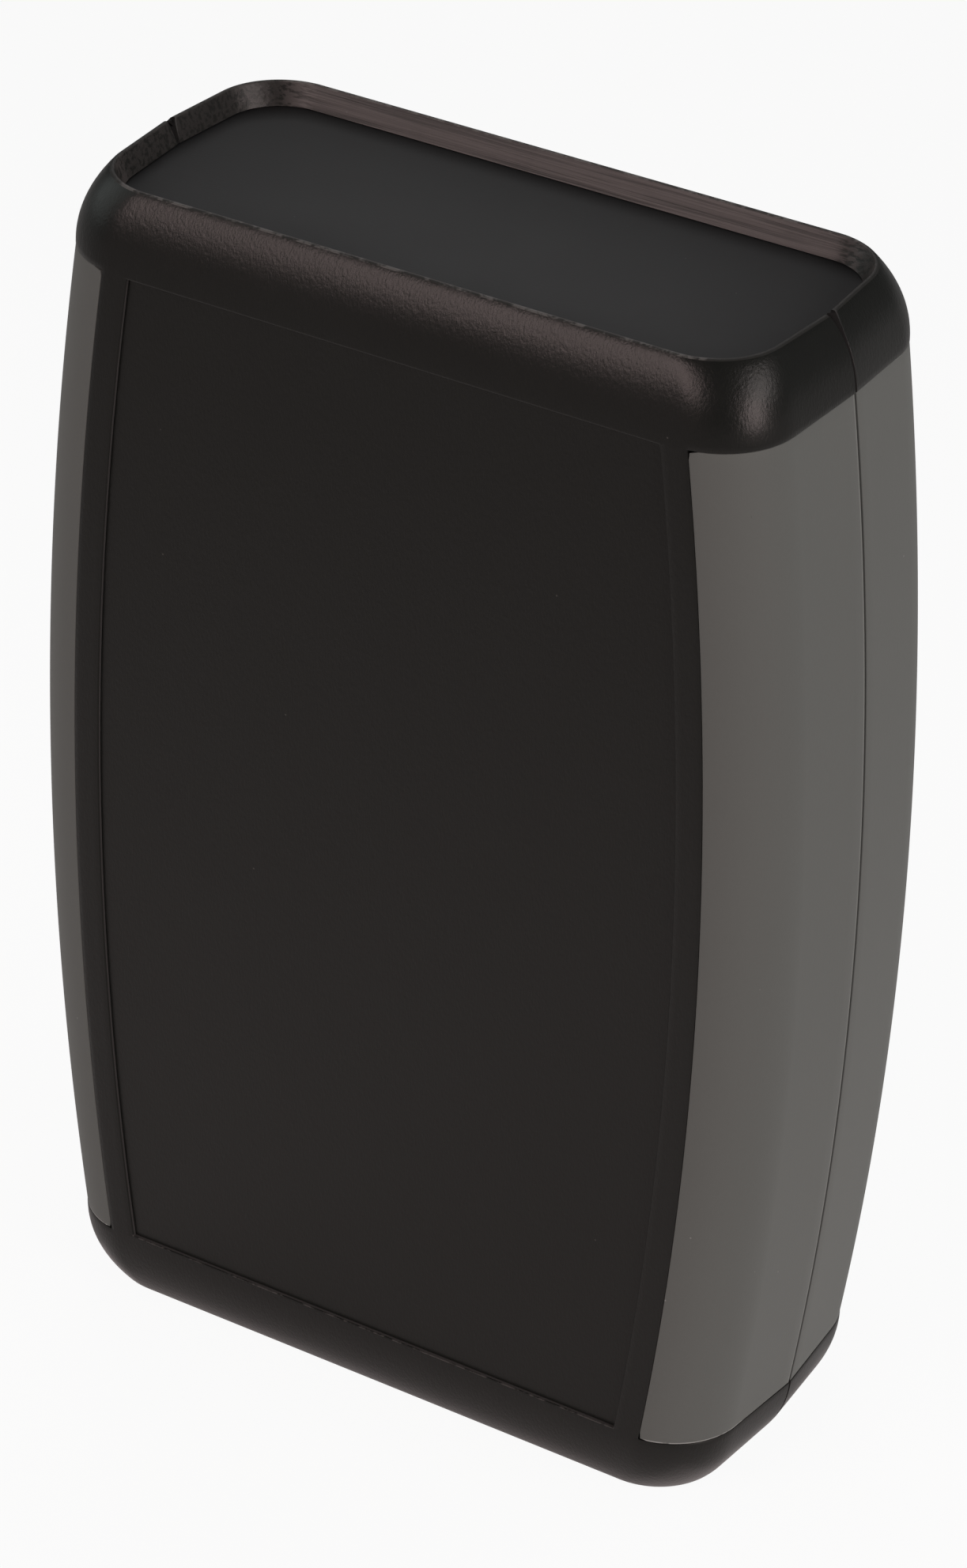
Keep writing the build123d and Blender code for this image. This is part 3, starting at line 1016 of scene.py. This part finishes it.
def build_panel(form, name, end, material):
    """One flat end panel with a fine rounded edge."""
    inside = form.inside
    back, front = form.panel_back, form.panel_face
    round_off = 0.1 * MM
    right = [(SIDE, 0.0), (SIDE, 0.5)] + [(CORNER, place) for place in np.linspace(0, 1, 17)]
    stretch, place = np.array(right).T
    rings = []
    for z, inset in ((back, round_off), (back + round_off, 0.0), (front - round_off, 0.0),
                     (front - 0.3 * round_off, 0.3 * round_off), (front, round_off)):
        grown = inside.panel_capture
        x, y = form.section(stretch, place, form.mouth_width + grown - inset,
                            form.mouth_depth + grown - inset,
                            inside.panel_corner_radius + grown - inset)
        quarter = list(zip(x, y))
        half = quarter + [(-px, py) for px, py in reversed(quarter)]
        ring = half + [(px, -py) for px, py in reversed(half[1:-1])]
        rings.append([(px, py, end * z) for px, py in ring])
    mesh = tube_mesh(name, rings)
    lift(mesh, form.shape.height)
    shade(mesh)
    return new_object(name, mesh, material)


# ---------------------------------------------------------------- screws

SCREW_SPIN = 0.7   # radians that each screw is turned further than the one before


def screw_profile(screws):
    """Half outline of a pan head screw: (radius, height) from the tip to the crown."""
    core = screws.core_radius
    tip = screws.seat - screws.shank
    pitch = 1.1 * MM
    outline = [(0.0, tip), (0.35 * core, tip)]
    z = tip + 0.8 * MM
    while z < screws.seat - 2.2 * pitch:
        outline += [(0.8 * core, z), (core, z + 0.35 * pitch), (0.8 * core, z + 0.7 * pitch)]
        z += pitch
    outline += [(0.8 * core, screws.seat), (0.9 * screws.head_radius, screws.seat),
                (screws.head_radius, screws.seat + 0.12 * screws.head_height)]
    for step in range(9):
        angle = math.pi / 2 * step / 8
        radius = screws.head_radius * (0.35 + 0.65 * math.cos(angle))
        height = screws.seat + screws.head_height * (0.4 + 0.6 * math.sin(angle))
        outline.append((radius, height))
    outline.append((0.0, screws.seat + screws.head_height))
    return outline


def screw_mesh(screws):
    """One screw along y, with a cross recess."""
    sides = 40
    outline = screw_profile(screws)
    turns = [2 * math.pi * k / sides for k in range(sides)]
    points = [(radius * math.cos(a), height, radius * math.sin(a))
              for radius, height in outline for a in turns]
    faces = grid_faces(len(outline), sides)
    piece = new_object("screw_form", mesh_from("screw_form", points, faces))
    top = screws.seat + screws.head_height
    arm = 0.35 * MM
    reach = 1.25 * MM
    deep = 1.1 * MM
    cuts = [block_mesh("slot", (-along, top - deep, -across), (along, top + arm, across))
            for along, across in ((reach, arm), (arm, reach))]
    combine(piece, cuts, "DIFFERENCE")
    bevel(piece, 0.06 * MM, segments=2, degrees=55.0)
    return piece


def screw_tree():
    """Geometry nodes that set one screw at the four corners of a rectangle."""
    graph, ask = new_tree("Case Screws", Float=("Spacing X", "Spacing Z", "Case Height"),
                          Object=("Screw",))
    corners = graph.add("GeometryNodeMeshGrid",
                        {"Size X": ask["Spacing X"], "Size Y": ask["Spacing Z"],
                         "Vertices X": 2, "Vertices Y": 2})
    place = graph.add("ShaderNodeSeparateXYZ",
                      {0: graph.add("GeometryNodeInputPosition").outputs[0]})
    spot = graph.add("ShaderNodeCombineXYZ",
                     {0: graph.out(place, 0), 1: 0.0,
                      2: graph.out(place, 1) + ask["Case Height"] / 2})
    stood = graph.add("GeometryNodeSetPosition",
                      {"Geometry": corners.outputs["Mesh"], "Position": spot.outputs[0]})
    screw = graph.add("GeometryNodeObjectInfo", {"Object": ask["Screw"]})
    index = graph.out(graph.add("GeometryNodeInputIndex"))
    spin = graph.add("ShaderNodeCombineXYZ", {0: 0.0, 1: index * SCREW_SPIN, 2: 0.0})
    copies = graph.add("GeometryNodeInstanceOnPoints",
                       {"Points": stood.outputs[0], "Instance": screw.outputs["Geometry"],
                        "Rotation": spin.outputs[0]})
    return close_tree(graph, ask, copies)


# ---------------------------------------------------------------- operators

class CaseOperator:
    """What the operators share."""
    bl_options = {"REGISTER", "UNDO"}

    def hand_over(self, piece, slot, *nodes):
        """Lets a finished piece ride on the case and stand for its nodes."""
        if not piece.data.polygons:
            raise RuntimeError(f"{piece.name} came out empty")
        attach(piece, BODY)
        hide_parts(*nodes)


class MESH_OT_case_shells(CaseOperator, bpy.types.Operator):
    """Build the two moulded half shells"""
    bl_idname = "mesh.case_shells"
    bl_label = "Half Shells"

    def execute(self, context):
        form = CaseForm(context.scene)
        material = shell_finish(form, context.scene.case_finish)
        for name, facing in (("front_shell", -1), ("rear_shell", 1)):
            piece = build_shell(form, name + "_moulding", facing, material)
            self.hand_over(piece, "case_black", name)
        return {"FINISHED"}


class MESH_OT_case_grips(CaseOperator, bpy.types.Operator):
    """Build the four over-moulded side grips"""
    bl_idname = "mesh.case_grips"
    bl_label = "Side Grips"

    def execute(self, context):
        form = CaseForm(context.scene)
        material = grip_finish(form, context.scene.case_finish)
        tree = grip_tree()
        for half, facing in (("front", -1), ("rear", 1)):
            for hand, side in (("left", -1), ("right", 1)):
                name = f"{half}_grip_{hand}"
                piece = build_grip(form, tree, name + "_soft", side, facing, material)
                self.hand_over(piece, "grip_grey", name)
        return {"FINISHED"}


class MESH_OT_case_panels(CaseOperator, bpy.types.Operator):
    """Build the flat end panels"""
    bl_idname = "mesh.case_panels"
    bl_label = "End Panels"

    def execute(self, context):
        form = CaseForm(context.scene)
        material = panel_finish(context.scene.case_finish)
        for name, end in (("top_end_panel", 1), ("bottom_end_panel", -1)):
            piece = build_panel(form, name + "_plate", end, material)
            self.hand_over(piece, "panel_black", name)
        return {"FINISHED"}


class MESH_OT_case_screws(CaseOperator, bpy.types.Operator):
    """Set the four case screws in their counterbores"""
    bl_idname = "mesh.case_screws"
    bl_label = "Case Screws"

    def execute(self, context):
        form = CaseForm(context.scene)
        material = screw_finish(context.scene.case_finish)
        x, z = form.screw_places()[1]
        single = screw_mesh(form.screws)
        piece = new_object("case_screws", bpy.data.meshes.new("case_screws"))
        apply_tree(piece, screw_tree(), {
            "Spacing X": 2 * x, "Spacing Z": 2 * z, "Case Height": form.shape.height,
            "Screw": single, "Material": material})
        bpy.data.objects.remove(single)
        shade(piece.data, 30.0)
        nodes = [f"case_screw_{number}" for number in range(1, 5)]
        self.hand_over(piece, "screw_steel", *nodes)
        return {"FINISHED"}


# ---------------------------------------------------------------- stage

# metres, and shares of plain white
FLOOR_SIZE = 8.0
FLOOR_NEAR, FLOOR_FAR = 0.04, 0.30   # between these the floor fades from its near tone
# painted shade: the floor's tone darkens away from the case to stand in for light falling off
FLOOR_NEAR_TONE = (0.9, 0.9, 0.9)
FLOOR_FAR_TONE = (0.45, 0.45, 0.45)
WHITE = (1.0, 1.0, 1.0, 1.0)
FLOOR_GLOW_TINT = (1.0, 0.88, 0.87, 1.0)
SEEN_GLOW = 0.93      # to the camera, so that the case's shadow still shows
NEAR_GLOW = 0.12      # in reflections, near the case
CLOSE_GLOW = 0.45     # in reflections, more of it right under the rims
SKY_REFLECTED = 0.02  # in reflections of the surroundings
LAMP_DISTANCE = 1.5

# name, azimuth and elevation in degrees, width and height in metres, radiance, tint, mirrored
LAMPS = (
    ("key_softbox", -18, 28, (1.0, 0.6), 4.9, (1.0, 0.84, 0.82), True),
    ("side_softbox", 75, 10, (0.6, 0.75), 5.8, (1.0, 0.89, 0.87), True),
    ("high_side_softbox", 92, 30, (0.8, 0.6), 3.5, (1.0, 0.98, 0.96), True),
    ("rear_side_softbox", 152, 14, (0.8, 0.6), 3.6, (1.0, 1.0, 1.0), False),
    ("rear_softbox", -145, 45, (0.6, 0.8), 2.0, (1.0, 1.0, 1.0), True),
    ("left_softbox", -80, 22, (1.2, 1.0), 0.8, (0.88, 1.0, 0.98), True),
)


def seen_plainly(graph, ray):
    """1 for rays straight from the camera and through glass, 0 for the rest."""
    return graph.out(ray, "Is Camera Ray").most(graph.out(ray, "Is Transmission Ray"))


def floor_finish(form):
    """Pale floor, nearly white to the camera, whose glow in reflections fades outwards, and whose
    tone darkens outwards as painted shade.
    """
    look = Finish("floor_pale", Roughness=0.9, Specular_IOR_Level=0.2)
    ray = look.add("ShaderNodeLightPath")
    away = look.add("ShaderNodeVectorMath", {0: look.place}, operation="LENGTH")
    near = 1 - look.out(away, "Value").ramp(FLOOR_NEAR, FLOOR_FAR)
    x, y = look.across()[:2]
    beside = (abs(x) - form.end_half_width).most(abs(y) - form.half_depth)
    close = 1 - beside.ramp(-2.4 * MM, -0.4 * MM)
    look.feed(look.shader.inputs["Base Color"],
              look.blend(near, rgba(FLOOR_FAR_TONE), rgba(FLOOR_NEAR_TONE)))
    glossy = look.out(ray, "Is Glossy Ray") * (near * NEAR_GLOW + close * CLOSE_GLOW)
    plain = seen_plainly(look, ray)
    tint = look.blend(plain, FLOOR_GLOW_TINT, WHITE)
    glow = look.add("ShaderNodeEmission", {"Color": tint, "Strength": 1.0})
    mix = look.add("ShaderNodeMixShader",
                   {0: plain * SEEN_GLOW + glossy, 1: look.shader.outputs[0], 2: glow.outputs[0]})
    look.feed(look.surface, mix.outputs[0])
    return look.material


def studio_world(strength):
    """Dim even surroundings that the camera sees as white, and reflections as a grey."""
    world = bpy.data.worlds.new("studio")
    world.use_nodes = True
    graph = Graph(world.node_tree)
    graph.tree.nodes.clear()
    ray = graph.add("ShaderNodeLightPath")
    seen = seen_plainly(graph, ray)
    glossy = graph.out(ray, "Is Glossy Ray")
    level = seen + (1 - seen) * (strength + glossy * SKY_REFLECTED)
    back = graph.add("ShaderNodeBackground", {"Color": WHITE, "Strength": level})
    graph.add("ShaderNodeOutputWorld", {0: back.outputs[0]})
    return world


def way_out(azimuth, elevation):
    """Direction away from the case; azimuth 0 is in front of it."""
    level = math.cos(elevation)
    return Vector((math.sin(azimuth) * level, -math.cos(azimuth) * level, math.sin(elevation)))


class CaseStage(bpy.types.PropertyGroup):
    """Camera and light."""
    azimuth: turn("Azimuth", "Camera's turn round the case, 0 in front", 31.193)
    elevation: turn("Elevation", "Camera's height as an angle", 31.064)
    roll: turn("Roll", "Camera's roll", 1.726)
    distance: length("Distance", "Camera to the case's centre", 519.447)
    aim_right: length("Aim Right", "Sideways shift of the camera", 0.973)
    aim_up: length("Aim Up", "Upward shift of the camera", 0.82)
    lens: bpy.props.FloatProperty(name="Lens", description="Focal length for a 36 mm long side",
                                  unit="CAMERA", default=130.22)
    world_level: share("World Level", "Strength of the surroundings", 0.06)


class SCENE_OT_case_stage(bpy.types.Operator):
    """Set the floor, soft lamps and camera"""
    bl_idname = "scene.case_stage"
    bl_label = "Stage"
    bl_options = {"REGISTER", "UNDO"}

    def execute(self, context):
        scene = context.scene
        stage = scene.case_stage
        centre = Vector((0, 0, scene.case_shape.height / 2))
        self.add_floor(scene)
        self.add_camera(scene, stage, centre)
        for lamp in LAMPS:
            self.add_lamp(scene, centre, *lamp)
        scene.world = studio_world(stage.world_level)
        scene.view_settings.view_transform = "Standard"
        return {"FINISHED"}

    def add_floor(self, scene):
        """A wide flat floor under the case."""
        half = FLOOR_SIZE / 2
        points = [(-half, -half, 0), (half, -half, 0), (half, half, 0), (-half, half, 0)]
        mesh = bpy.data.meshes.new("floor")
        mesh.from_pydata(points, [], [(0, 1, 2, 3)])
        new_object("floor", mesh, floor_finish(CaseForm(scene)))

    def add_lamp(self, scene, centre, name, azimuth, elevation, size, radiance, tint, mirrored):
        """Rectangular soft lamp that faces the case and may be left out of reflections."""
        way = way_out(math.radians(azimuth), math.radians(elevation))
        data = bpy.data.lights.new(name, "AREA")
        data.shape = "RECTANGLE"
        data.size, data.size_y = size
        data.energy = radiance * math.pi * size[0] * size[1]
        data.color = tint
        lamp = bpy.data.objects.new(name, data)
        lamp.location = centre + way * LAMP_DISTANCE
        lamp.rotation_mode = "QUATERNION"
        lamp.rotation_quaternion = way.to_track_quat("Z", "Y")
        lamp.visible_glossy = mirrored
        scene.collection.objects.link(lamp)

    def add_camera(self, scene, stage, centre):
        """The camera at its angle, with its frame's long side upright."""
        back = way_out(stage.azimuth, stage.elevation)
        level_right = (-back).cross(Vector((0, 0, 1))).normalized()
        level_up = level_right.cross(-back)
        right = level_right * math.cos(stage.roll) + level_up * math.sin(stage.roll)
        up = level_up * math.cos(stage.roll) - level_right * math.sin(stage.roll)
        data = bpy.data.cameras.new("camera")
        data.lens = stage.lens
        data.sensor_width = 36.0
        data.clip_start = 0.01
        camera = bpy.data.objects.new("camera", data)
        camera.matrix_world = Matrix((right, up, back)).transposed().to_4x4()
        camera.location = (centre + right * stage.aim_right + up * stage.aim_up
                           + back * stage.distance)
        scene.collection.objects.link(camera)
        scene.camera = camera


# ---------------------------------------------------------------- panel and run

GROUPS = (("case_shape", CaseShape), ("case_inside", CaseInside), ("case_grips", CaseGrips),
          ("case_screws", CaseScrews), ("case_finish", CaseFinish), ("case_stage", CaseStage))
OPERATORS = (MESH_OT_case_shells, MESH_OT_case_grips, MESH_OT_case_panels,
             MESH_OT_case_screws, SCENE_OT_case_stage)


class VIEW3D_PT_case(bpy.types.Panel):
    """Sidebar panel with the case's pieces and sizes"""
    bl_label = "Instrument Case"
    bl_space_type = "VIEW_3D"
    bl_region_type = "UI"
    bl_category = "Case"

    def draw(self, context):
        for operator in OPERATORS:
            self.layout.operator(operator.bl_idname)
        for attribute, group in GROUPS:
            box = self.layout.box()
            box.label(text=group.__doc__)
            for name in group.__annotations__:
                box.prop(getattr(context.scene, attribute), name)


def register():
    for attribute, group in GROUPS:
        bpy.utils.register_class(group)
        setattr(bpy.types.Scene, attribute, bpy.props.PointerProperty(type=group))
    for operator in OPERATORS:
        bpy.utils.register_class(operator)
    bpy.utils.register_class(VIEW3D_PT_case)


def unregister():
    bpy.utils.unregister_class(VIEW3D_PT_case)
    for operator in reversed(OPERATORS):
        bpy.utils.unregister_class(operator)
    for attribute, group in reversed(GROUPS):
        delattr(bpy.types.Scene, attribute)
        bpy.utils.unregister_class(group)


def main():
    """Builds everything in order."""
    register()
    bpy.ops.mesh.case_shells()
    bpy.ops.mesh.case_grips()
    bpy.ops.mesh.case_panels()
    bpy.ops.mesh.case_screws()
    bpy.ops.scene.case_stage()


if __name__ == "__main__":
    main()
